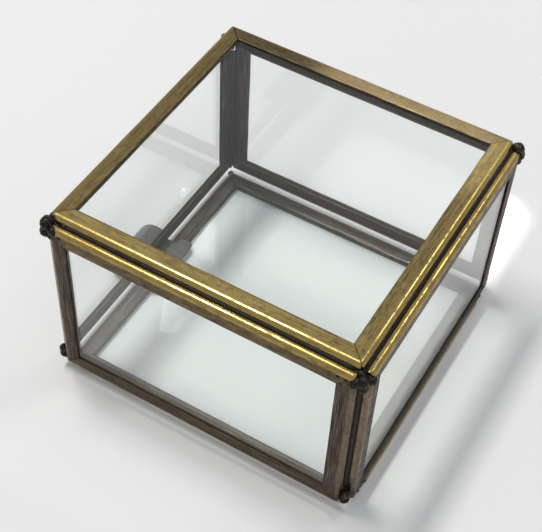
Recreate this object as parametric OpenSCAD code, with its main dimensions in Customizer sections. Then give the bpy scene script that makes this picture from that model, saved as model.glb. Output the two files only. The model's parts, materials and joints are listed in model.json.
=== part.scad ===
// Glass casket box: six panes framed in folded brass came, soldered into a case with a hinged lid.
// It stands as photographed, upside down on its closed lid: the lid is the lowest panel and the
// box's base is the top one. +X runs from the lift tab to the hinge, +Y from the near wall to the
// far wall, +Z up. The origin is the centre of the lid's outer face, which rests on the table.

/* [Overall] */
// Width over the tab wall and the hinge wall
casing_w = 89; // [60:0.5:150]
// Depth over the near wall and the far wall
casing_d = 88; // [60:0.5:150]
// Height from the lid's outer face to the base's outer face
box_h = 59; // [30:0.5:120]

/* [Came] */
// Thickness of the brass sheet that the came is folded from
sheet_t = 0.35; // [0.3:0.05:0.5]
// Reach of the came from its rounded nose to its inner edge
came_reach = 4.8; // [3.5:0.1:6]
// Gap that is left in a mitre, where two strips meet
mitre_gap = 0.05; // [0.02:0.01:0.15]
// Radius of a panel's outer corners
corner_r = 1.2; // [0.5:0.1:1.3]

/* [Glass] */
// Thickness of each pane
glass_t = 1.9; // [1.6:0.1:3]
// Play of a pane in the slot of its came, both faces together
glass_play = 0.1; // [0.05:0.01:0.2]
// Gap between a pane's edge and the rounded end of the slot
glass_edge_gap = 0.1; // [0.05:0.05:0.5]

/* [Panels] */
// How far the near and hinge walls' foot edges lie below the base's outer face
base_rise = 1.7; // [1:0.05:2]
// How far the base's tab and far edges lie inside the outer faces of the walls under them
base_over_in = 1.2; // [0.8:0.1:1.8]
// Gap between the base's frame and the tab and far walls, which it lies on
base_gap = 0.1; // [0.05:0.05:0.2]
// How far the lid's edges lie inside the walls' outer faces
lid_inset = 2.7; // [2.5:0.1:3.1]
// Gap between the lid's frame and the walls' rim, which the lift tab passes through
rim_gap = 0.6; // [0.6:0.05:1]

/* [Hinge] */
// Bore of the hinge tube
tube_bore = 1; // [0.8:0.05:1.2]
// Wall of the hinge tube
tube_wall = 0.3; // [0.2:0.05:0.4]
// Radial clearance between pin and tube
pin_clear = 0.05; // [0.02:0.01:0.1]
// Distance of the hinge axis inside the hinge wall's outer face
hinge_in = 0.6; // [0.4:0.05:0.7]
// Length of pin that shows between each end of the tube and its anchor
pin_bare = 2.5; // [1:0.5:10]

/* [Lift tab] */
// Thickness of the tab's brass sheet
tab_t = 0.4; // [0.2:0.05:0.4]
// Width of the tab along the lid's edge
tab_w = 19; // [8:0.5:30]
// Reach of the tab beyond the tab wall's outer face
tab_reach = 8.2; // [7:0.1:16]
// Radius of the tab's outer corners
tab_corner_r = 2.8; // [1:0.1:2.9]
// How far the neck of the tab is drawn in on each side
tab_neck_in = 2.4; // [0.5:0.1:3]
// How far the tab's inner end stands out past the lid's frame
tab_foot_out = 2; // [0.2:0.1:3]
// Length of the wide foot at the tab's inner end
tab_foot_len = 4.2; // [3:0.1:5]
// How much narrower that foot is than the tab, on each side
tab_foot_in = 0.1; // [0.1:0.1:1]
// Radius of the foot's corners
tab_foot_r = 1.4; // [0.5:0.1:1.5]
// Gap between the tab wall's outer face and the tab's wide end
tab_shoulder_gap = 1; // [0.3:0.1:1.2]

/* [Solder] */
// Radius of the solder in the grooves between the panels
seam_r = 0.9; // [0.85:0.05:1]
// Gap between the ends of the solder along the base and the strips that cross there
seam_end_gap = 0.1; // [0.05:0.05:2]
// Height of the solder joints where the base meets two walls
base_joint_h = 6; // [6:0.5:9]
// Height of the solder joints at the rim of the walls
rim_joint_h = 6; // [6:0.5:9]
// Radius of the solder between the hinge tube and the hinge wall's rim
hinge_seam_r = 0.6; // [0.5:0.05:0.7]
// Width of the bare line where the hinge tube touches the rim, between the two solder fillets
hinge_seam_gap = 0.1; // [0.05:0.05:0.2]
// Radius of the solder round each end of the hinge pin
anchor_r = 0.65; // [0.6:0.05:0.7]
// Radius of the solder between that end and the lid's hinge edge
anchor_foot_r = 1; // [0.9:0.05:1.1]
// How far each anchor's middle lies inside the end of the hinge wall's rim
anchor_in = 4; // [3:0.5:10]
// Radius of the solder bead on the lid's two other corners
bead_r = 0.95; // [0.6:0.05:1]
// How far that bead's centre stands off the rounded corner
bead_out = 0.15; // [0.1:0.05:0.4]

/* [Hidden] */
$fn = 48;
brass = "darkgoldenrod";
tarnished_brass = "peru";
solder = "dimgray";
clear_glass = [0.8, 0.9, 0.9, 0.35];

slot_t = glass_t + glass_play;
came_t = slot_t + 2 * sheet_t;
nose_r = came_t / 2;
inner_w = casing_w - 2 * came_t;
inner_d = casing_d - 2 * came_t;
lid_w = casing_w - 2 * lid_inset;
lid_d = casing_d - 2 * lid_inset;
rim_z = came_t + rim_gap;
foot_z = box_h - base_rise;

// The base lies between the near and hinge walls and on top of the tab and far walls
base_over = came_t - base_over_in;
base_w = inner_w + base_over;
base_d = inner_d + base_over;
base_under_z = box_h - came_t;
low_foot_z = base_under_z - base_gap;

// The hinge axis stands off the rounded edge of the hinge wall by both radii
tube_r = tube_bore / 2 + tube_wall;
pin_r = tube_bore / 2 - pin_clear;
wall_nose_x = casing_w / 2 - nose_r;
wall_nose_z = rim_z + nose_r;
hinge_x = casing_w / 2 - hinge_in;
hinge_z = wall_nose_z - sqrt(pow(nose_r + tube_r, 2) - pow(hinge_x - wall_nose_x, 2));

// The upright groove at each corner of the casing lies between the edges of two walls
groove_x = inner_w / 2;
groove_y = inner_d / 2;
anchor_y = groove_y - anchor_in;
tube_len = 2 * (anchor_y - anchor_r - pin_bare);
// Share of the way from the hinge axis to the middle of the lid's edge that the solder's drops span
anchor_share = 0.56;

// Sides of a panel in its own plane, as quarter turns from its lower side
LOWER = 0;
RIGHT = 1;
UPPER = 2;
LEFT = 3;

// Quarter turn about Z that takes the near wall to each wall, how wide each wall is, how high its
// foot edge lies, where solder on it ends, and how far inside its outer face the base's edge lies
WALLS = ["near_wall", "hinge_wall", "far_wall", "tab_wall"];
wall_turn = [0, 90, 180, 270];
wall_width = [inner_w, inner_d, inner_w, inner_d];
wall_foot_z = [foot_z, foot_z, low_foot_z, low_foot_z];
wall_solder_z = [foot_z, foot_z, base_under_z, base_under_z];
wall_base_in = [came_t, came_t, base_over_in, base_over_in];
// Names of each wall's four strips, in the order of the sides of a panel
wall_strips = [
    ["rim_came", "hinge_post", "foot_came", "tab_post"],
    ["rim_came", "far_post", "foot_came", "near_post"],
    ["rim_came", "tab_post", "foot_came", "hinge_post"],
    ["rim_came", "near_post", "foot_came", "far_post"]
];

// Corners of the box seen from above, as signs of X and Y, in the order of their names
CORNERS = ["near_tab", "near_hinge", "far_hinge", "far_tab"];
corner_sign = [[-1, -1], [1, -1], [1, 1], [-1, 1]];
// Direction outwards at a corner
function corner_turn(c) = atan2(corner_sign[c][1], corner_sign[c][0]);
// The two walls that meet at a corner
function corner_walls(c) = [corner_sign[c][1] < 0 ? 0 : 2, corner_sign[c][0] < 0 ? 3 : 1];

// Lumps of each solder joint, from the groove's line: out along X, out along Y, up, radius.
// Those of the base go up from the higher wall's foot edge, and those of the rim from the rim's edge.
// They are laid out round a came of this thickness, and grow with it.
lump_came_t = 2.7;
base_lumps = [
    [[1.1, 1.2, -0.4, 1.7], [1.3, 1.5, -2.9, 1.6], [2.5, -0.5, -1.4, 1.1]],
    [[1.0, 1.4, -1.4, 1.6], [-0.7, 2.4, -2.3, 1.1], [2.4, -0.5, -2.0, 1.2], [1.3, 1.3, -3.6, 1.3]],
    [[1.3, 1.0, -0.5, 1.8], [1.7, 1.3, -2.5, 1.7], [1.5, 1.2, -4.4, 1.4]],
    [[1.0, 1.3, -0.5, 1.6], [-0.7, 2.4, -1.2, 1.1], [2.4, -0.5, -1.1, 1.2]]
];
rim_lumps = [
    [[1.1, 1.1, 1.6, 1.4], [1.2, 1.3, 3.8, 1.2]],
    [[0.9, 1.0, 1.7, 1.4], [1.1, 1.2, 4.2, 1.3]],
    [[0.9, 1.0, 1.7, 1.4], [1.0, 1.1, 3.9, 1.2]],
    [[1.0, 1.0, 1.6, 1.4], [0.9, 1.1, 3.6, 1.2]]
];

// Rectangle with rounded corners, its lower left corner at the origin
module rounded_rect(size, r) {
    translate([r, 0]) square([size[0] - 2 * r, size[1]]);
    translate([0, r]) square([size[0], size[1] - 2 * r]);
    for (x = [r, size[0] - r], y = [r, size[1] - r]) {
        translate([x, y]) circle(r = r);
    }
}

// Outer outline of a came across its length: half-round nose at x = 0, two flanges inwards
module came_outline() {
    translate([nose_r, nose_r]) circle(r = nose_r);
    translate([nose_r, 0]) square([came_reach - nose_r, came_t]);
}

// Slot of the came that the pane sits in, round at its end as the sheet is folded
module came_slot() {
    translate([nose_r, nose_r]) circle(d = slot_t);
    translate([nose_r, sheet_t]) square([came_reach, slot_t]);
}

// Plan of a strip along X, its nose at y = 0, with both ends mitred and the panel's corners rounded
module strip_plan(len) {
    outer = (len - mitre_gap) / 2;
    inner = outer - came_reach;
    intersection() {
        polygon([[-outer, 0], [outer, 0], [inner, came_reach], [-inner, came_reach]]);
        translate([-len / 2, 0]) rounded_rect([len, len], corner_r);
    }
}

// One came strip along X, in a panel that lies from z = 0 to came_t
module strip(len) {
    intersection() {
        rotate([90, 0, 90]) linear_extrude(height = len, center = true) {
            difference() {
                came_outline();
                came_slot();
            }
        }
        linear_extrude(height = came_t) strip_plan(len);
    }
}

// Length of a panel's side, and how far its opposite sides lie apart
function side_len(size, side) = side % 2 == 0 ? size[0] : size[1];
function side_span(size, side) = side % 2 == 0 ? size[1] : size[0];

// Places a strip at one side of a panel that is centred on the origin
module at_side(size, side) {
    rotate([0, 0, 90 * side]) translate([0, -side_span(size, side) / 2, 0]) children();
}

// One came strip of a panel
module panel_came(size, side) {
    at_side(size, side) strip(side_len(size, side));
}

// The block that a whole panel fills, which keeps solder on its outside
module panel_block(size) {
    translate([0, 0, came_t / 2]) cube([size[0], size[1], came_t], center = true);
}

// The pane of a panel: it reaches into the slots as far as their rounded ends
module panel_glass(size) {
    cut = 2 * (nose_r + glass_edge_gap);
    translate([0, 0, came_t / 2]) cube([size[0] - cut, size[1] - cut, glass_t], center = true);
}

base_size = [base_w, base_d];
lid_size = [lid_w, lid_d];
function wall_h(i) = wall_foot_z[i] - rim_z;
function wall_size(i) = [wall_width[i], wall_h(i)];
function wall_out(i) = i % 2 == 0 ? casing_d / 2 : casing_w / 2;

// Lifts a panel to the base's place, off the middle towards the tab and far walls
module at_base() {
    translate([-base_over / 2, base_over / 2, base_under_z]) children();
}

// Stands a panel up as one of the four walls, its outer face outwards
module at_wall(i) {
    rotate([0, 0, wall_turn[i]])
        translate([0, came_t - wall_out(i), rim_z + wall_h(i) / 2])
            rotate([90, 0, 0])
                children();
}

module base_glass() {
    color(clear_glass) at_base() panel_glass(base_size);
}

module base_came(side) {
    color(brass) at_base() panel_came(base_size, side);
}

module wall_glass(i) {
    color(clear_glass) at_wall(i) panel_glass(wall_size(i));
}

// The block that a wall fills, up to where solder may lie on it
module wall_block(i) {
    rotate([0, 0, wall_turn[i]]) translate([-wall_width[i] / 2, -wall_out(i), rim_z])
        cube([wall_width[i], came_t, wall_solder_z[i] - rim_z]);
}

module wall_came(i, side) {
    color(tarnished_brass) at_wall(i) panel_came(wall_size(i), side);
}

module lid_glass() {
    color(clear_glass) panel_glass(lid_size);
}

module lid_came(side) {
    color(tarnished_brass) panel_came(lid_size, side);
}

// Solder run along the groove between the base and one wall: it fills what the two noses leave
module base_seam(i) {
    run = wall_width[i] - 2 * (came_reach + seam_end_gap);
    wall_line = [wall_out(i) - nose_r, wall_foot_z[i] - nose_r];
    base_line = [wall_out(i) - wall_base_in[i] - nose_r, box_h - nose_r];
    color(solder) rotate([0, 0, wall_turn[i] - 90]) rotate([90, 0, 0])
        linear_extrude(height = run, center = true) {
            difference() {
                translate((wall_line + base_line) / 2) circle(r = seam_r);
                translate(wall_line) circle(r = nose_r);
                translate(wall_line - [nose_r, came_reach]) square([came_t, came_reach]);
                translate(base_line) circle(r = nose_r);
                translate(base_line - [came_reach, nose_r]) square([came_reach, came_t]);
            }
        }
}

// Solder run in the upright groove at a corner, between the rounded edges of its two walls
module upright_seam(c) {
    line_x = corner_sign[c][0] * groove_x;
    line_y = corner_sign[c][1] * groove_y;
    top = min([for (i = corner_walls(c)) wall_foot_z[i]]);
    out_x = corner_sign[c][0] * nose_r;
    out_y = corner_sign[c][1] * nose_r;
    color(solder) translate([0, 0, rim_z + rim_joint_h])
        linear_extrude(height = top - rim_z - rim_joint_h - base_joint_h) {
            difference() {
                translate([line_x, line_y]) circle(r = seam_r);
                translate([line_x - out_x, line_y + out_y]) circle(r = nose_r);
                translate([line_x + out_x, line_y - out_y]) circle(r = nose_r);
            }
        }
}

// A joint's lumps of solder at one corner, round a stretch of its groove, on the panels' outsides
module solder_joint(c, lumps, z, from, height) {
    line = [corner_sign[c][0] * groove_x, corner_sign[c][1] * groove_y];
    grown = came_t / lump_came_t;
    color(solder) {
        translate([line[0], line[1], from]) linear_extrude(height = height) {
            intersection() {
                circle(r = seam_r);
                translate([min(0, corner_sign[c][0]), min(0, corner_sign[c][1])]) square(1);
            }
        }
        difference() {
            for (lump = lumps[c]) {
                translate([
                    line[0] + corner_sign[c][0] * lump[0] * grown,
                    line[1] + corner_sign[c][1] * lump[1] * grown,
                    z + lump[2] * grown
                ]) rotate([0, 0, corner_turn(c)]) sphere(r = lump[3] * grown);
            }
            for (i = corner_walls(c)) {
                wall_block(i);
            }
            at_base() panel_block(base_size);
            translate([0, 0, box_h / 2]) cube([inner_w, inner_d, box_h], center = true);
        }
    }
}

module base_solder(c) {
    feet = [for (i = corner_walls(c)) wall_foot_z[i]];
    solder_joint(c, base_lumps, max(feet), min(feet) - base_joint_h, base_joint_h);
}

module rim_solder(c) {
    solder_joint(c, rim_lumps, rim_z, rim_z, rim_joint_h);
}

// The tube that turns on the pin, soldered to the hinge wall's rim
module hinge_tube() {
    color(tarnished_brass) translate([hinge_x, 0, hinge_z]) rotate([90, 0, 0])
        difference() {
            cylinder(r = tube_r, h = tube_len, center = true);
            cylinder(d = tube_bore, h = tube_len + 1, center = true);
        }
}

// Solder fillets between the tube and the rim of the hinge wall, one on each side of their touch
module hinge_seam() {
    touch_turn = atan2(wall_nose_z - hinge_z, wall_nose_x - hinge_x);
    seam_line = [
        (hinge_x * nose_r + wall_nose_x * tube_r) / (nose_r + tube_r),
        (hinge_z * nose_r + wall_nose_z * tube_r) / (nose_r + tube_r)
    ];
    color(solder) rotate([90, 0, 0]) linear_extrude(height = tube_len, center = true) {
        difference() {
            translate(seam_line) circle(r = hinge_seam_r);
            translate([hinge_x, hinge_z]) circle(r = tube_r);
            translate([wall_nose_x, wall_nose_z]) circle(r = nose_r);
            translate(seam_line) rotate(touch_turn)
                square([3 * hinge_seam_r, hinge_seam_gap], center = true);
        }
    }
}

// The pin runs through the tube into the solder near both ends of the lid's hinge edge
module hinge_pin() {
    color("dimgray") translate([hinge_x, 0, hinge_z]) rotate([90, 0, 0])
        cylinder(r = pin_r, h = 2 * anchor_y, center = true);
}

// Solder that holds one end of the pin on the lid's hinge edge: three drops in a row, which grow
// towards the lid and stay clear of the rim as it turns
module hinge_pin_anchor(side) {
    axis = [hinge_x, hinge_z];
    lid_nose = [lid_w / 2 - nose_r, nose_r];
    color(solder) difference() {
        for (step = [0, 0.5, 1]) {
            spot = axis + (lid_nose - axis) * anchor_share * step;
            translate([spot[0], side * anchor_y, spot[1]]) rotate([0, 0, 90 * side])
                sphere(r = anchor_r + (anchor_foot_r - anchor_r) * step);
        }
        translate([lid_w / 2 - nose_r, 0, nose_r]) rotate([90, 0, 0])
            cylinder(r = nose_r, h = lid_d, center = true);
        translate([-lid_w / 2, -lid_d / 2, 0]) cube([lid_w - nose_r, lid_d, came_t]);
        hinge_pin();
    }
}

// Bead of solder on the rounded corner of the lid's frame, where two strips meet
module lid_solder(c) {
    corner_x = corner_sign[c][0] * (lid_w / 2 - corner_r);
    corner_y = corner_sign[c][1] * (lid_d / 2 - corner_r);
    out = (corner_r + bead_out) * sqrt(0.5);
    color(solder) difference() {
        translate([
            corner_x + corner_sign[c][0] * out,
            corner_y + corner_sign[c][1] * out,
            nose_r
        ]) rotate([0, 0, corner_turn(c)]) sphere(r = bead_r);
        translate([corner_x, corner_y, 0]) cylinder(r = corner_r, h = came_t);
    }
}

// Tongue that lifts the lid: it lies on the lid's frame, passes under the rim and stands out
module lift_tab() {
    outer_end = -casing_w / 2 - tab_reach;
    neck_start = -casing_w / 2 - tab_shoulder_gap;
    foot_end = -lid_w / 2 + came_reach + tab_foot_out;
    neck_end = foot_end - tab_foot_len;
    foot_w = tab_w - 2 * tab_foot_in;
    neck_w = tab_w - 2 * tab_neck_in;
    color(brass) translate([0, 0, came_t]) linear_extrude(height = tab_t) {
        translate([outer_end, -tab_w / 2])
            rounded_rect([neck_start - outer_end, tab_w], tab_corner_r);
        translate([neck_end, -foot_w / 2]) rounded_rect([tab_foot_len, foot_w], tab_foot_r);
        translate([neck_start - tab_foot_r, -neck_w / 2])
            square([neck_end - neck_start + 2 * tab_foot_r, neck_w]);
    }
}

base_glass();
base_came(LOWER);  // base_near_came
base_came(RIGHT);  // base_hinge_came
base_came(UPPER);  // base_far_came
base_came(LEFT);  // base_tab_came
for (i = [0:3]) {
    wall_glass(i);
    for (side = [LOWER, RIGHT, UPPER, LEFT]) {
        wall_came(i, side);
    }
}
base_seam(0);  // base_near_seam
base_seam(1);  // base_hinge_seam
base_seam(2);  // base_far_seam
base_seam(3);  // base_tab_seam
for (c = [0:3]) {
    upright_seam(c);
    base_solder(c);
    rim_solder(c);
}
hinge_tube();
hinge_seam();
lid_glass();
lid_came(LOWER);  // lid_near_came
lid_came(RIGHT);  // lid_hinge_came
lid_came(UPPER);  // lid_far_came
lid_came(LEFT);  // lid_tab_came
lid_solder(0);  // lid_solder_near_tab
lid_solder(3);  // lid_solder_far_tab
hinge_pin();
hinge_pin_anchor(-1);  // hinge_pin_anchor_near
hinge_pin_anchor(1);  // hinge_pin_anchor_far
lift_tab();
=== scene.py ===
# %% [markdown]
# # A glass casket box in aged brass came
# This lesson dresses a small soldered glass box. Each pane sits in folded brass strips, called came,
# and the framed panels are soldered along their edges. The box stands upside down on its closed lid.
# The construction model comes first and stays as it is: every piece made below takes its place and
# its size from it, and stands in for one of its parts. One unit here is a metre, but the pieces are
# drawn in millimetres and scaled down when they are made, because a came is only 2.7 mm thick.

# %% Load the construction model
import json
import math

import bmesh
import bpy
import numpy as np
from mathutils import Matrix, Vector, noise


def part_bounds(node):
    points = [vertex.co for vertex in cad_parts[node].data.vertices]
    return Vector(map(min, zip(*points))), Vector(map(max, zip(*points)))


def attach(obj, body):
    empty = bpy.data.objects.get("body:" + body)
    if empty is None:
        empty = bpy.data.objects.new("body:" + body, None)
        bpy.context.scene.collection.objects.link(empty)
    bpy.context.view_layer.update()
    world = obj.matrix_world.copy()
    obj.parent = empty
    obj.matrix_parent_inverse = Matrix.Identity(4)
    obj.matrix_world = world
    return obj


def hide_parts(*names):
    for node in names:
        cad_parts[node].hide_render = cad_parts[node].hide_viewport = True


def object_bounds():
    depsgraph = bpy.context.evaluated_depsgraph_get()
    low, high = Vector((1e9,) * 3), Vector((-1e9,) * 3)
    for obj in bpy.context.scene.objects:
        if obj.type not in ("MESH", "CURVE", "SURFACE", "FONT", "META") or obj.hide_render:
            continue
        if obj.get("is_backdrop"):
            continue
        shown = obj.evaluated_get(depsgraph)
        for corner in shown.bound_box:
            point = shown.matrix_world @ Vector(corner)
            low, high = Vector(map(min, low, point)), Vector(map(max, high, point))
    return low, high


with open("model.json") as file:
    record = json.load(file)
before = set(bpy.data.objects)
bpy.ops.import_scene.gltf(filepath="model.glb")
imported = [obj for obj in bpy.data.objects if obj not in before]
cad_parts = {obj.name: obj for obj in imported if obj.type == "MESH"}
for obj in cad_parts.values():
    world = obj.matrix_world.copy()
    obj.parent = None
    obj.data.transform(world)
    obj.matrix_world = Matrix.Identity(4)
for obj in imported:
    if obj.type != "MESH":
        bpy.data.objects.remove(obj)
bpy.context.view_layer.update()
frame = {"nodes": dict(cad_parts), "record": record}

# %% [markdown]
# ## Shader sums as Python sums
# A finish such as tarnished brass is a sum of masks: here the rubbed edge, there the soot. Wiring
# each sum by hand hides the idea, so one small class wraps a socket and lets Python's own operators
# add the Math nodes. Any other node comes from one method that takes its type, settings and inputs.

# %% A wrapped socket and a finish
class Value:
    """An output socket that can be added, subtracted, multiplied and shaped."""

    def __init__(self, finish, socket):
        self.finish, self.socket = finish, socket

    def maths(self, operation, other=None, swapped=False, clamp=False):
        sockets = {0: self} if other is None else {0: other, 1: self} if swapped else {0: self, 1: other}
        return self.finish.node("Math", {"operation": operation, "use_clamp": clamp}, sockets)

    def __add__(self, other):
        return self.maths("ADD", other)

    def __sub__(self, other):
        return self.maths("SUBTRACT", other)

    def __mul__(self, other):
        return self.maths("MULTIPLY", other)

    def __pow__(self, other):
        return self.maths("POWER", other)

    def __rsub__(self, other):
        return self.maths("SUBTRACT", other, swapped=True)

    __radd__, __rmul__ = __add__, __mul__

    def clamped(self):
        return self.maths("ADD", 0.0, clamp=True)

    def rise(self, low, high):
        """0 below low, 1 above high, and a smooth rise between them; it falls if high is the lower."""
        settings = {"interpolation_type": "SMOOTHSTEP"}
        sockets = {"Value": self, "From Min": low, "From Max": high}
        return self.finish.node("MapRange", settings, sockets)


class Finish:
    """A material being made: node() adds a node and gives back its output."""

    def __init__(self, name):
        self.material = bpy.data.materials.new(name)
        self.material.use_nodes = True
        self.tree = self.material.node_tree
        self.tree.nodes.clear()

    def node(self, kind, settings=None, sockets=None, output=0):
        made = self.tree.nodes.new("ShaderNode" + kind)
        for key, value in (settings or {}).items():
            if key == "stops":
                ramp = made.color_ramp
                while len(ramp.elements) < len(value):
                    ramp.elements.new(1.0)
                for element, (place, colour) in zip(ramp.elements, value):
                    element.position = place
                    element.color = (*colour, 1.0)
            else:
                setattr(made, key, value)
        for key, value in (sockets or {}).items():
            if isinstance(value, Value):
                self.tree.links.new(value.socket, made.inputs[key])
            elif isinstance(value, tuple) and len(value) == 3 and made.inputs[key].type == "RGBA":
                made.inputs[key].default_value = (*value, 1.0)
            else:
                made.inputs[key].default_value = value
        return Value(self, made.outputs[output])

    def mix(self, share, a, b):
        """Colour a where share is 0 and colour b where it is 1."""
        return self.node("Mix", {"data_type": "RGBA"}, {0: share, 6: a, 7: b}, output=2)

    def noise(self, place, scale, detail=2.0, rough=0.5):
        sockets = {"Vector": place, "Scale": scale, "Detail": detail, "Roughness": rough}
        return self.node("TexNoise", None, sockets)

    def mark(self, name):
        """A number that the mesh carries at each of its points."""
        return self.node("Attribute", {"attribute_name": name}, output=2)

    def stretched(self, place, amount):
        return self.node("VectorMath", {"operation": "MULTIPLY"}, {0: place, 1: amount})

    def surface(self, shader):
        out = self.tree.nodes.new("ShaderNodeOutputMaterial")
        self.tree.links.new(shader.socket, out.inputs["Surface"])
        return self.material


# %% [markdown]
# ## Aged brass
# The came has been handled and has tarnished for years. Its folded edge is worn golden and is also
# painted lighter as a sheen. The flat flanges are mottled with olive, brown and reddish patches, soot
# from the soldering darkens the corners, and the grooves are darkened by tarnish and by painted shade.
# Each strip is also painted lighter or darker as a whole, as the light falls on it. An image texture
# could hold all that, but noise laid along each strip does it at any distance. Each strip's mesh
# carries where a point lies along and across it, in millimetres, how far it is onto the folded edge,
# how close it is to a groove or a joint, and how much painted light or shade it gets.

# %% The brass finishes
def aged_brass(name, rubbed_and_lit, flat, patch, stain, grain=1.0, soot_and_shade_amount=1.0, gloss=0.30, streaks=1.0):
    """Brass with a golden fold, worn and painted lighter as a sheen, mottled flats, reddish patches and dark
    stains, each a colour, plus soot and painted shade.
    """
    f = Finish(name)
    lay = f.node("Attribute", {"attribute_name": "lay"}, output=1)
    fold, groove, soot, cut, tone = (f.mark(m) for m in ("fold", "groove", "soot", "cut", "tone"))
    clouds = f.noise(f.stretched(lay, (0.16, 0.5, 1.0)), 1.0, 4.0, 0.6)
    spots = f.noise(f.stretched(lay, (0.55, 1.1, 1.0)), 1.0, 3.0, 0.6)
    drawn = f.noise(f.stretched(lay, (0.10, 5.0, 1.0)), 1.0, 3.0, 0.6)
    fine = f.noise(f.stretched(lay, (3.5, 6.0, 1.0)), 1.0, 2.0, 0.6)

    # Golden: the fold, worn bright and also painted lighter as a sheen, the random mottling, and the strip's
    # painted light level.
    golden = (fold.rise(0.15, 0.9) * (0.55 + 0.6 * clouds) + (clouds - 0.5) * 0.9 + tone - 0.5).clamped()
    colour = f.mix(golden, flat, rubbed_and_lit)
    colour = f.mix(spots.rise(0.47, 0.64) * (1 - 0.5 * golden) * 0.85, colour, patch)
    lines = drawn.rise(0.48, 0.66) * (0.60 * streaks) * (1 - 0.75 * fold)
    pits = fine.rise(0.54, 0.70) * 0.75 * grain * (1 - 0.55 * golden)
    pale = (drawn.rise(0.46, 0.32) * (0.32 * streaks) * (1 - fold)).clamped()
    colour = f.mix(pale, colour, (0.30, 0.29, 0.22))
    colour = f.mix((lines + pits).clamped(), colour, stain)
    # Black mixes soot round the joints, tarnish and painted shade in the grooves, painted shade in the mitre
    # cracks and inside the slot, and a floor that darkens some strips all along.
    black = (groove.rise(0.30, 0.75) + soot * (0.45 + 0.9 * spots) + cut * 0.9).clamped() * soot_and_shade_amount
    colour = f.mix(black, colour, (0.012, 0.009, 0.007))

    rough = gloss + 0.16 * (1 - golden) + 0.22 * spots.rise(0.45, 0.7)
    rough = (rough + 0.25 * black - 0.14 * fold).clamped()
    height = clouds * 0.5 + (fine * 0.14 + drawn * 0.3) * (1 - 0.75 * fold)
    bumps = f.node("Bump", None, {"Height": height, "Strength": 0.22, "Distance": 0.00012})
    metal = 0.92 - 0.30 * spots.rise(0.5, 0.7) - 0.35 * black
    return f.surface(f.node("BsdfPrincipled", None, {
        "Base Color": colour, "Metallic": metal, "Roughness": rough, "Normal": bumps}))


# One brass in lit and shaded copies as well as its own patina: the base came, where the light falls, is
# painted brightest; the flanges of the wall rails and the posts are darker, partly patina and partly painted
# shade; the lid's came, on the table under the box, is painted darkest as shade.
finishes = {
    "base_came": aged_brass("brass_base", (0.42, 0.31, 0.10), (0.185, 0.140, 0.052), (0.135, 0.066, 0.034),
                            (0.040, 0.029, 0.014), streaks=1.0),
    "wall_rail": aged_brass("brass_wall_rail", (0.46, 0.33, 0.10), (0.100, 0.074, 0.040),
                            (0.110, 0.056, 0.036), (0.024, 0.018, 0.012), streaks=1.3),
    "wall_post": aged_brass("brass_wall_post", (0.20, 0.150, 0.090), (0.092, 0.066, 0.050),
                            (0.120, 0.054, 0.046), (0.016, 0.012, 0.009), streaks=2.0, gloss=0.34),
    "lid_came": aged_brass("brass_lid", (0.17, 0.14, 0.080), (0.080, 0.068, 0.048), (0.085, 0.045, 0.034),
                           (0.012, 0.010, 0.008), streaks=1.8, gloss=0.36),
    "hinge_tube": aged_brass("brass_tube", (0.36, 0.28, 0.13), (0.16, 0.13, 0.08), (0.12, 0.07, 0.04),
                             (0.02, 0.015, 0.01), gloss=0.28),
}
print("brass finishes:", ", ".join(finishes))

# %% [markdown]
# ## Black solder, dull tab and steel pin
# The solder was blackened after soldering, and glints are painted into its colour at the highest
# points of its crust. The lift tab was cut from thin sheet and has gone a dull grey, with fainter
# painted glints. Both use the same kind of masks, laid in the object's own space because a lump of
# solder has no along or across.

# %% The other metal finishes
def lump_metal(name, dark, bright, shine_from, gloss, metal=0.85, grain=(1.0, 1.0, 1.0), bump=0.5):
    """Metal without a direction: dark, with glints painted into its colour where a fine noise is high,
    strongest on its crust.
    """
    f = Finish(name)
    place = f.stretched(f.node("TexCoord", output=3), tuple(1000.0 * g for g in grain))
    clouds = f.noise(place, 0.7, 3.0)
    fine = f.noise(place, 3.2, 3.0, 0.65)
    # Glints painted into the colour where a fine noise peaks, strongest on a solder crust.
    peaks = fine.rise(shine_from, shine_from + 0.14) * clouds.rise(0.35, 0.6)
    painted_glints = peaks * (0.15 + 0.85 * f.mark("crust"))
    colour = f.mix(clouds, dark, tuple(0.55 * c for c in dark))
    colour = f.mix(painted_glints, colour, bright)
    bumps = f.node("Bump", None, {"Height": clouds * 0.6 + fine * 0.5, "Strength": bump, "Distance": 0.00025})
    return f.surface(f.node("BsdfPrincipled", None, {
        "Base Color": colour, "Metallic": metal,
        "Roughness": (gloss + 0.25 * clouds - 0.12 * painted_glints).clamped(), "Normal": bumps}))


finishes["solder"] = lump_metal("solder_black", (0.024, 0.019, 0.015), (0.55, 0.48, 0.36), 0.56, 0.30,
                                bump=0.9)
finishes["lift_tab"] = lump_metal("tab_dull_grey", (0.155, 0.150, 0.128), (0.26, 0.25, 0.21), 0.58, 0.50,
                                  metal=0.6, bump=0.25)
finishes["hinge_pin"] = lump_metal("pin_steel", (0.10, 0.095, 0.085), (0.30, 0.29, 0.27), 0.55, 0.35)
print("finishes:", len(finishes))

# %% [markdown]
# ## Clear glass
# The panes are thin window glass with a faint green-blue tint. Light on its way to a lamp or to the
# room meets a plain see-through surface instead, so that the table under the box is lit once and not
# twice; the eye still sees real glass that bends and mirrors. Fingermarks make its gloss uneven.

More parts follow.
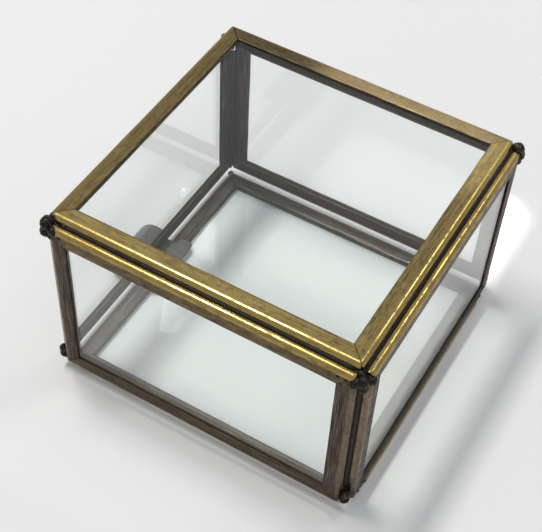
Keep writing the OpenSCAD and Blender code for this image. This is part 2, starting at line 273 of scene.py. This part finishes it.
# %% The glass finish
def clear_glass(name, tint):
    f = Finish(name)
    place = f.stretched(f.node("TexCoord", output=3), (1000.0,) * 3)
    smears = f.noise(f.stretched(place, (0.09, 0.09, 0.05)), 1.0, 4.0, 0.6).rise(0.55, 0.75)
    glass = f.node("BsdfPrincipled", None, {
        "Base Color": tint, "Roughness": 0.03 * smears, "IOR": 1.5, "Transmission Weight": 1.0})
    through = f.node("BsdfTransparent", None, {"Color": tint})
    casting, scattered = f.node("LightPath", output=1), f.node("LightPath", output=2)
    lets_by = casting.maths("MAXIMUM", scattered)
    return f.surface(f.node("MixShader", None, {0: lets_by, 1: glass, 2: through}))


finishes["clear_glass"] = clear_glass("glass_clear", (0.982, 0.996, 0.990))

# %% [markdown]
# ## Making a piece
# Every piece goes through one function, which scales it, gives it its finish, ties it to the body it
# moves with and hides the construction part it stands for. It can also give each point of the mesh
# numbers that the finish reads.

# %% One function for every piece
MM = 0.001
body_of_part = {n: body for body, names in frame["record"]["behaviour"]["bodies"].items() for n in names}
slot_of_part = {s["node"]: s["material_slot"] for s in frame["record"]["subparts"]}


def make_piece(part, points, faces, marks=None, lay=None):
    """A mesh piece that stands for one construction part. Points are in millimetres."""
    mesh = bpy.data.meshes.new("visible_" + part)
    mesh.from_pydata((np.asarray(points, float) * MM).tolist(), [], faces)
    for name, numbers in (marks or {}).items():
        mesh.attributes.new(name, "FLOAT", "POINT").data.foreach_set("value", np.asarray(numbers, np.float32))
    if lay is not None:
        flat = np.asarray(lay, np.float32).ravel()
        mesh.attributes.new("lay", "FLOAT_VECTOR", "POINT").data.foreach_set("vector", flat)
    mesh.polygons.foreach_set("use_smooth", [True] * len(mesh.polygons))
    mesh.materials.append(finishes[slot_of_part[part]])
    piece = bpy.data.objects.new("visible_" + part, mesh)
    bpy.context.scene.collection.objects.link(piece)
    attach(piece, body_of_part[part])
    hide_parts(part)
    return piece


def part_box(part):
    """Lowest and highest corner of a construction part, in millimetres."""
    low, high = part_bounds(part)
    return np.array(low) / MM, np.array(high) / MM


def wander(x, y=0.0, z=0.0):
    """Smooth noise between about -1 and 1, the same on every run."""
    return noise.noise(Vector((x, y, z)))


# %% [markdown]
# ## Where soot and painted shade gather
# The grooves between two panels were filled with solder, and the brass beside them is darkened by
# tarnish and by painted shade; every joint left soot around it. The brass has to know how far it is
# from them, so the lines of the seams and the middles of the joints are read from the construction
# model's boxes.

# %% Distances to seams and joints
seam_lines = []
for part in frame["nodes"]:
    if part.startswith(("base_", "upright_")) and "_seam" in part:
        low, high = part_box(part)
        middle, half = (low + high) / 2, (high - low) / 2
        along = np.zeros(3)
        along[np.argmax(half)] = half.max() + 4.0
        seam_lines.append((middle - along, middle + along))
joints = [sum(part_box(p)) / 2 for p in frame["nodes"] if p.startswith(("base_solder", "rim_solder"))]
print("seams:", len(seam_lines), "joints:", len(joints))


def seam_distance(point):
    """Distance in millimetres from a point to the nearest seam's line."""
    nearest = 99.0
    for start, end in seam_lines:
        run = end - start
        share = np.clip((point - start) @ run / (run @ run), 0, 1)
        nearest = min(nearest, np.linalg.norm(point - start - share * run))
    return nearest


def joint_distance(point):
    return min(np.linalg.norm(point - middle) for middle in joints)


# %% [markdown]
# ## A came strip
# A came is brass sheet folded into a long U that grips the pane's edge: a round nose outside and two
# flanges on the faces of the glass. It could be a bevelled curve, but its ends are cut to a mitre
# and the panel's corners are rounded. So the outline is laid out once, and rings of it are placed
# along the strip, each point moved along by how deep it lies. Small dents break the highlight.

# %% The outline across a came
def came_outline(thick, reach, sheet=0.35):
    """Points round a came as (depth from the nose, height over the middle), its outside first."""
    nose, slot = thick / 2, thick / 2 - sheet
    lip = [(reach - 0.03, nose - 0.28), (reach, nose - 0.15), (reach - 0.10, nose - 0.02)]
    flange = [(reach - 0.5, nose), (reach - 1.2, nose), ((reach + nose) / 2 - 0.3, nose), (nose + 0.25, nose)]
    turns = [math.radians(a) for a in range(90, -91, -12)]
    arc = [(nose - nose * math.cos(t), nose * math.sin(t)) for t in turns]
    outside = lip + flange + arc + [(d, -w) for d, w in reversed(lip + flange)]
    inner = [(nose - slot * math.cos(t), -slot * math.sin(t)) for t in turns[::3]]
    inside = [(reach - 0.04, -slot)] + inner + [(reach - 0.04, slot)]
    return np.array(outside), np.array(inside)


# %% Rings along a strip
def strip_points(length, thick, reach, corner_r=1.2, gap=0.05, seed=0):
    """Points of a strip as rings of (along, depth, height), with how far round and along each lies."""
    outside, inside = came_outline(thick, reach)
    outline = np.vstack([outside, inside])
    steps = np.linalg.norm(np.diff(outside, axis=0), axis=1)
    round_it = np.concatenate([[0], np.cumsum(steps), np.full(len(inside), -1.0)])
    rings = max(30, int(length / 1.1))
    shares = np.sort(np.concatenate([np.linspace(-1, 1, rings), [-0.995, -0.985, -0.97, 0.97, 0.985, 0.995]]))
    points, lay, to_end = [], [], []
    for share in shares:
        for (depth, height), way in zip(outline, round_it):
            d = depth
            for _ in range(4):
                a = share * (length / 2 - d - gap / 2)
                over = abs(a) - (length / 2 - corner_r)
                rounding = corner_r - math.sqrt(max(corner_r ** 2 - max(over, 0) ** 2, 0))
                d = depth + rounding * max(0.0, 1 - depth / 2.2)
            dent = 0.026 * wander(a / 7, height * 0.8, seed)
            dent += 0.005 * wander(a / 2.3, height + depth, seed + 5)
            lip_wave = 0.07 * wander(a / 8, seed + 9) * (depth / reach) ** 6
            shift = 1 + dent / max(thick / 2, abs(height)) if way >= 0 else 1
            points.append((a, d + lip_wave - dent * max(0, 1 - depth / 1.4), height * min(shift, 1.0)))
            lay.append((a, way if way >= 0 else 30 + depth, seed))
            to_end.append((1 - abs(share)) * (length / 2 - d))
    return np.array(points), np.array(lay, float), np.array(to_end), len(outline), len(shares), len(outside)


def ring_faces(around, rings):
    """Faces between closed rings of points, with one face over each end."""
    faces = []
    for r in range(rings - 1):
        for k in range(around):
            n = (k + 1) % around
            faces.append((r * around + k, r * around + n, (r + 1) * around + n, (r + 1) * around + k))
    faces.append(tuple(range(around))[::-1])
    faces.append(tuple((rings - 1) * around + k for k in range(around)))
    return faces


# %% [markdown]
# ## Six panels of four strips
# Each panel is described by two directions in its plane, and its strips are named from its lower side
# round. Size and place come from the boxes of its strips in the construction model, so each panel
# lies just where its own parts lie.

# %% Lay the strips round the panels
X, Y, Z = np.eye(3)
panels = {
    "base": (X, Y, ["base_near_came", "base_hinge_came", "base_far_came", "base_tab_came"]),
    "near_wall": (X, Z, ["near_wall_rim_came", "near_wall_hinge_post",
                         "near_wall_foot_came", "near_wall_tab_post"]),
    "hinge_wall": (Y, Z, ["hinge_wall_rim_came", "hinge_wall_far_post",
                          "hinge_wall_foot_came", "hinge_wall_near_post"]),
    "far_wall": (-X, Z, ["far_wall_rim_came", "far_wall_tab_post",
                         "far_wall_foot_came", "far_wall_hinge_post"]),
    "tab_wall": (-Y, Z, ["tab_wall_rim_came", "tab_wall_near_post",
                         "tab_wall_foot_came", "tab_wall_far_post"]),
    "lid": (X, -Y, ["lid_far_came", "lid_hinge_came", "lid_near_came", "lid_tab_came"]),
}
# Painted light per strip: the near and hinge strips of the base, the foot rails and the hinge wall's near
# post are painted lighter where light falls; the far base strip and the rim rails are painted darker as
# shade; the rest keep a middle level.
painted_light_levels = {"base_near_came": 1.05, "base_hinge_came": 0.80, "base_far_came": 0.30, "base_tab_came": 0.50,
         "near_wall_foot_came": 0.66, "hinge_wall_foot_came": 0.62, "near_wall_rim_came": 0.34,
         "hinge_wall_rim_came": -0.20, "hinge_wall_near_post": 0.62}
# A floor under the soot mark darkens these strips all along: on the far base came it is painted shade under
# its flange; on the hinge wall's rim came, the lid's hinge came and the far wall's foot came it simply
# darkens them.
darkening_floor = {"base_far_came": 0.42, "hinge_wall_rim_came": 0.75, "lid_hinge_came": 0.45,
         "far_wall_foot_came": 0.30}

seed = 0
for panel, (right, up, parts) in panels.items():
    corners = [part_box(p) for p in parts]
    low = np.min([c[0] for c in corners], axis=0)
    high = np.max([c[1] for c in corners], axis=0)
    middle, size = (low + high) / 2, high - low
    out = np.cross(right, up)
    width, height, thick = (abs(size @ v) for v in (right, up, out))
    for side, part in enumerate(parts):
        seed += 1
        along, inward = [(right, up), (up, -right), (-right, -up), (-up, right)][side]
        length, span = (width, height) if side % 2 == 0 else (height, width)
        box_low, box_high = part_box(part)
        reach = abs((box_high - box_low) @ inward)
        local, lay, to_end, around, rings, outer = strip_points(length, thick, reach, seed=seed * 3.7)
        nose_line = middle - inward * span / 2
        points = nose_line + np.outer(local[:, 0], along) + np.outer(local[:, 1], inward)
        points = points + np.outer(local[:, 2], out)
        on_fold = np.clip(1.6 - local[:, 1] / (thick / 2) * 1.1, 0, 1)
        outside = np.tile(np.arange(around) < outer, rings)
        seam = np.array([seam_distance(p) for p in points])
        joint = np.array([joint_distance(p) for p in points])
        ragged = np.array([wander(p[0] / 2.2, p[1] / 2.2, p[2] / 2.2) for p in points])
        marks = {
            "fold": np.where(outside, on_fold, 0),
            # Darkened beside the seams: tarnish and painted shade in the groove.
            "groove": np.clip((1.45 + 0.18 * ragged - seam) / 0.9, 0, 1),
            # Soot round the joints, with a floor from the table above that darkens whole strips.
            "soot": np.clip((3.6 + 1.2 * ragged - joint) / 2.2, darkening_floor.get(part, 0), 1),
            # Painted shade: a thin dark line at the cut ends for the mitre crack, and the inside of the slot
            # darker.
            "cut": np.clip(1 - to_end / 0.22, 0, 1) + np.where(outside, 0, 0.6),
            # The strip's painted light level, lighter where light falls and darker in shade.
            "tone": np.full(len(points), painted_light_levels.get(part, 0.42)),
        }
        make_piece(part, points, ring_faces(around, rings), marks, lay)
print("strips made:", seed, "with", around * rings, "points in the last one")

# %% [markdown]
# ## Panes
# A pane is a slab of glass whose edges were rubbed down a little after cutting, so that they don't
# split. That rounding hides in the came, but it keeps the slab from being a bare block.

# %% Cut the panes
def bevelled_slab(low, high, edge):
    """A slab between two corners with its edges taken off."""
    slab = bmesh.new()
    bmesh.ops.create_cube(slab, size=1.0)
    for v in slab.verts:
        v.co = Vector([low[i] if v.co[i] < 0 else high[i] for i in range(3)])
    bmesh.ops.bevel(slab, geom=slab.edges[:], offset=edge, segments=1, affect="EDGES")
    slab.verts.ensure_lookup_table()
    points = [tuple(v.co) for v in slab.verts]
    faces = [tuple(v.index for v in f.verts) for f in slab.faces]
    slab.free()
    return points, faces


for part in [p for p in frame["nodes"] if p.endswith("_glass")]:
    pane = make_piece(part, *bevelled_slab(*part_box(part), 0.15))
    pane.data.polygons.foreach_set("use_smooth", [False] * len(pane.data.polygons))
print("panes:", len([p for p in frame["nodes"] if p.endswith("_glass")]))

# %% [markdown]
# ## Solder
# A joint is a few drops of solder that ran into each other. The construction model has them as plain
# balls in the corner; here a copy of that mesh is remeshed into one skin, smoothed so the drops
# flow together, and roughened with noise. The seams are long rounded beads in the grooves, drawn as
# rings like the came but thick and thin by turns.

# %% Joints, beads and anchors
def melted(part, drops=(), voxel=0.16, rough=0.13, smooth=3):
    """A construction part and extra drops in one lumpy skin, as points and faces in millimetres."""
    source = frame["nodes"][part].data
    work = bpy.data.meshes.new("work")
    both = bmesh.new()
    both.from_mesh(source)
    bmesh.ops.scale(both, vec=(1 / MM,) * 3, verts=both.verts[:])
    for x, y, z, radius in drops:
        bmesh.ops.create_icosphere(both, subdivisions=3, radius=radius, matrix=Matrix.Translation((x, y, z)))
    both.to_mesh(work)
    both.free()
    holder = bpy.data.objects.new("work", work)
    bpy.context.scene.collection.objects.link(holder)
    remesh = holder.modifiers.new("skin", "REMESH")
    remesh.mode, remesh.voxel_size = "VOXEL", voxel
    soften = holder.modifiers.new("soften", "SMOOTH")
    soften.factor, soften.iterations = 0.5, smooth
    done = bpy.data.meshes.new_from_object(holder.evaluated_get(bpy.context.evaluated_depsgraph_get()))
    bpy.data.objects.remove(holder)
    points = []
    for v in done.vertices:
        p = v.co
        lift = rough * wander(p.x * 0.9, p.y * 0.9, p.z * 0.9)
        lift += 0.6 * rough * wander(p.x * 2.3, p.y * 2.3, p.z * 2.3 + 7)
        points.append(tuple(p + v.normal * lift))
    faces = [tuple(p.vertices) for p in done.polygons]
    bpy.data.meshes.remove(done)
    return points, faces


def drops_under_base(corner):
    """Drops that close the hollow between the base's corner and the walls; the near corners have more."""
    out_x, out_y = (1 if "hinge" in corner else -1), (1 if "far" in corner else -1)
    x, y = (part_box("near_wall_foot_came")[1][0], part_box("hinge_wall_foot_came")[1][1])
    top = part_box("base_glass")[0][2]
    drops = [(x - 0.15, y + 0.25, top - 0.55, 1.25), (x + 0.5, y - 0.7, top - 0.9, 1.1),
             (x - 1.6, y + 0.75, top - 0.35, 0.85), (x + 0.85, y - 1.8, top - 0.35, 0.8)]
    if corner.endswith("near_tab"):
        drops += [(x + 0.6, y - 0.4, top + 0.85, 1.4), (x - 0.9, y + 2.4, top - 0.6, 1.35),
                  (x - 2.8, y + 2.4, top - 1.6, 0.9), (x - 3.2, y, top + 0.5, 0.95),
                  (x - 5.8, y - 0.2, top + 0.5, 0.75), (x - 0.4, y + 2.2, top - 2.6, 1.2)]
    if corner.endswith("near_hinge"):
        drops += [(x - 6.2, y + 2.3, top - 1.1, 0.75), (x - 4.3, y + 2.4, top - 1.4, 0.9),
                  (x - 2.2, y + 2.3, top - 1.3, 1.0), (x - 0.4, y + 2.2, top - 1.1, 1.1),
                  (x + 2.1, y - 0.3, top - 1.1, 1.1), (x + 2.1, y - 2.5, top - 0.7, 0.95),
                  (x + 1.7, y - 4.5, top - 0.2, 0.85)]
    return [(out_x * dx, out_y * dy, z, radius) for dx, dy, z, radius in drops]


for part in [p for p in frame["nodes"] if "solder" in p or "anchor" in p]:
    points, faces = melted(part, drops_under_base(part) if part.startswith("base_solder") else ())
    make_piece(part, points, faces, {"crust": np.ones(len(points))})
    print(part, len(points), "points")


# %% Seams in the grooves
def bead(start, end, radius, seed, every=0.45):
    """A bead of solder between two points, thick and thin by turns, with closed round ends."""
    run = Vector(end) - Vector(start)
    turn = run.to_track_quat("Z", "Y").to_matrix()
    rings = max(8, int(run.length / every))
    points = []
    sides = 12
    for r in range(rings + 1):
        share = r / rings
        taper = math.sqrt(max(0.02, 1 - max(0.0, 1 - min(share, 1 - share) * run.length / radius) ** 2))
        for k in range(sides):
            a = 2 * math.pi * k / sides
            swell = 1 + 0.10 * wander(r * every / 1.6, math.cos(a), math.sin(a) + seed)
            spot = Vector((math.cos(a), math.sin(a), 0)) * radius * taper * swell
            points.append(tuple(Vector(start) + run * share + turn @ spot))
    return points, ring_faces(sides, rings + 1)


SEAM_R = 0.88
HINGE_SEAM_R = 0.52
RUNS_INTO_JOINT = 3.2

for number, part in enumerate(p for p in frame["nodes"] if "_seam" in p):
    low, high = part_box(part)
    middle, half = (low + high) / 2, (high - low) / 2
    along = np.zeros(3)
    along[np.argmax(half)] = half.max() + (RUNS_INTO_JOINT if part.startswith("base_") else 0)
    radius = SEAM_R if part != "hinge_seam" else HINGE_SEAM_R
    make_piece(part, *bead(middle - along, middle + along, radius, number * 5.3))
print("seams filled")

# %% [markdown]
# ## Hinge tube, pin and lift tab
# The hinge is a tube rolled from sheet, so it has an open seam along it, on a plain wire. The tab is
# a tongue cut from thin sheet: its outline is drawn in plan and given a rounded rim.

# %% Roll the tube and draw the pin
def tube(low, high, outer, inner):
    """A rolled tube along Y between two corners of its box, open along one side."""
    centre = (low + high) / 2
    split, half_gap = 200, 8
    turns = [math.radians(a) for a in np.linspace(split + half_gap, split + 360 - half_gap, 25)]
    ring = [(outer * math.cos(t), outer * math.sin(t)) for t in turns]
    ring += [(inner * math.cos(t), inner * math.sin(t)) for t in reversed(turns)]
    rings = 60
    points, lay = [], []
    for y in np.linspace(low[1], high[1], rings):
        for k, (x, z) in enumerate(ring):
            dent = 1 + 0.015 * wander(y / 5, x, z)
            points.append((centre[0] + x * dent, y, centre[2] + z * dent))
            lay.append((y, k * 0.2, 91))
    return points, ring_faces(len(ring), rings), np.array(lay, float)


low, high = part_box("hinge_tube")
points, faces, lay = tube(low, high, outer=0.8, inner=0.5)
flat = np.zeros(len(points))
ends = np.clip(1 - (lay[:, 0] - low[1]) / 1.5, 0, 1) + np.clip(1 - (high[1] - lay[:, 0]) / 1.5, 0, 1)
make_piece("hinge_tube", points, faces,
           {"fold": flat + 0.8, "groove": flat, "soot": ends * 0.7, "cut": flat, "tone": flat + 0.5}, lay)
low, high = part_box("hinge_pin")
middle = (low + high) / 2
pin_ends = (middle[0], low[1], middle[2]), (middle[0], high[1], middle[2])
make_piece("hinge_pin", *bead(*pin_ends, 0.45, 77.0, every=1.0))


# %% Cut the lift tab
def tab_outline():
    """Outline of the tab in plan as (x, y) round it, with rounded corners."""
    low, high = part_box("lift_tab")
    wide = high[1]
    tongue_len, foot_len, neck_in, foot_in = 7.2, 4.2, 2.4, 0.1
    neck_x, foot_x = low[0] + tongue_len, high[0] - foot_len
    neck, foot = wide - neck_in, wide - foot_in
    half = [(low[0], wide, 3.4), (neck_x, wide, 3.0), (neck_x, neck, 0.3), (foot_x, neck, 0.3),
            (foot_x, foot, 1.5), (high[0], foot, 1.5)]
    corners = half + [(x, -y, r) for x, y, r in reversed(half)]
    outline = []
    for i, (x, y, r) in enumerate(corners):
        here = Vector((x, y))
        before = (Vector(corners[i - 1][:2]) - here).normalized()
        after = (Vector(corners[(i + 1) % len(corners)][:2]) - here).normalized()
        for k in range(7):
            s = k / 6
            outline.append(here + before * r * (1 - s) ** 2 + after * r * s ** 2)
    return outline


outline = tab_outline()
low, high = part_box("lift_tab")
layers = [(0.12, 0.0), (0.0, 0.1), (0.0, 0.3), (0.12, 0.4)]
flat_sheet = bmesh.new()
rings = []
for inset, z in layers:
    middle = Vector(((low[0] + high[0]) / 2, 0))
    ring = []
    for p in outline:
        x = p.x - inset * (1 if p.x > middle.x else -1)
        y = p.y - inset * (1 if p.y > 0 else -1)
        ring.append(flat_sheet.verts.new((x, y, low[2] + z)))
    rings.append(ring)
for a, b in zip(rings, rings[1:]):
    for k in range(len(a)):
        n = (k + 1) % len(a)
        flat_sheet.faces.new((a[k], a[n], b[n], b[k]))
ends = [flat_sheet.faces.new(rings[0][::-1]), flat_sheet.faces.new(rings[-1])]
bmesh.ops.triangulate(flat_sheet, faces=ends)
flat_sheet.verts.index_update()
points = [tuple(v.co) for v in flat_sheet.verts]
faces = [tuple(v.index for v in f.verts) for f in flat_sheet.faces]
flat_sheet.free()
tab = make_piece("lift_tab", points, faces)
tab.data.polygons.foreach_set("use_smooth", [False] * len(tab.data.polygons))
print("tab points:", len(points))

# %% [markdown]
# ## Table, light and camera
# The box stands on a plain pale table under soft light: one lamp above for the bright lines on the
# folded edges, a weaker one behind, and a pale world that fills the shadows. A third, narrow lamp
# shines straight down and lays a bright patch on the table at the far wall. The camera's place was
# worked out from the edges of the box in the photograph.

# %% The table
def table_finish():
    f = Finish("table_pale")
    place = f.node("TexCoord", output=3)
    clouds = f.noise(place, 4.0, 2.0)
    colour = f.mix(clouds, (0.765, 0.755, 0.745), (0.83, 0.815, 0.80))
    return f.surface(f.node("BsdfPrincipled", None, {"Base Color": colour, "Roughness": 0.6}))


table_mesh = bpy.data.meshes.new("table")
table_mesh.from_pydata([(-4, -4, 0), (4, -4, 0), (4, 4, 0), (-4, 4, 0)], [], [(0, 1, 2, 3)])
table_mesh.materials.append(table_finish())
table = bpy.data.objects.new("table", table_mesh)
bpy.context.scene.collection.objects.link(table)
table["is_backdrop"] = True


# %% The lamps and the world
def softbox(name, place, aim, size, power, colour=(1, 1, 1), spread=180.0):
    """A rectangular lamp at a place, turned towards a point; a small spread makes it a beam. In metres."""
    lamp = bpy.data.lights.new(name, "AREA")
    lamp.shape, lamp.size, lamp.size_y = "RECTANGLE", *size
    lamp.energy, lamp.color, lamp.spread = power, colour, math.radians(spread)
    holder = bpy.data.objects.new(name, lamp)
    holder.location = place
    holder.rotation_mode = "QUATERNION"
    holder.rotation_quaternion = (Vector(aim) - Vector(place)).to_track_quat("-Z", "Y")
    bpy.context.scene.collection.objects.link(holder)
    return holder


softbox("lamp_above", (-0.35, 0.03, 1.10), (0, 0, 0.02), (0.42, 0.13), 6.2, (1.0, 0.99, 0.97))
softbox("lamp_behind", (0.30, 0.80, 1.05), (0, 0, 0.02), (0.35, 0.2), 1.6, (0.97, 0.99, 1.0))
softbox("window_beam", (0.0135, 0.048, 0.5), (0.0135, 0.048, 0), (0.053, 0.056), 0.03, spread=2.0)

world = bpy.data.worlds.new("room")
world.use_nodes = True
background = world.node_tree.nodes["Background"]
background.inputs["Color"].default_value = (0.93, 0.96, 1.0, 1.0)
background.inputs["Strength"].default_value = 0.58
bpy.context.scene.world = world


# %% The camera
def camera_at(target, azimuth, elevation, roll, distance, lens):
    """A camera that looks at a point in millimetres from a given side; azimuth 0 looks along +Y."""
    a, e, r = (math.radians(v) for v in (azimuth, elevation, roll))
    back = Vector((math.sin(a) * math.cos(e), -math.cos(a) * math.cos(e), math.sin(e)))
    side = Vector((math.cos(a), math.sin(a), 0))
    up = back.cross(side)
    right = math.cos(r) * side + math.sin(r) * up
    up = math.cos(r) * up - math.sin(r) * side
    camera = bpy.data.cameras.new("camera")
    camera.lens, camera.sensor_width = lens, 36.0
    holder = bpy.data.objects.new("camera", camera)
    turn = Matrix((right, up, back)).transposed().to_4x4()
    holder.matrix_world = Matrix.Translation((Vector(target) + back * distance) * MM) @ turn
    bpy.context.scene.collection.objects.link(holder)
    bpy.context.scene.camera = holder
    return holder


camera = camera_at(target=(1.83, -11.27, 37.94), azimuth=27.784, elevation=49.77, roll=3.395,
                   distance=323.323, lens=84.647)
bpy.context.scene.view_settings.view_transform = "Standard"
print("camera at", camera.location[:])

# %% Measure and finish
low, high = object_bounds()
print("visible box", [round(v / MM, 2) for v in (*low, *high)])
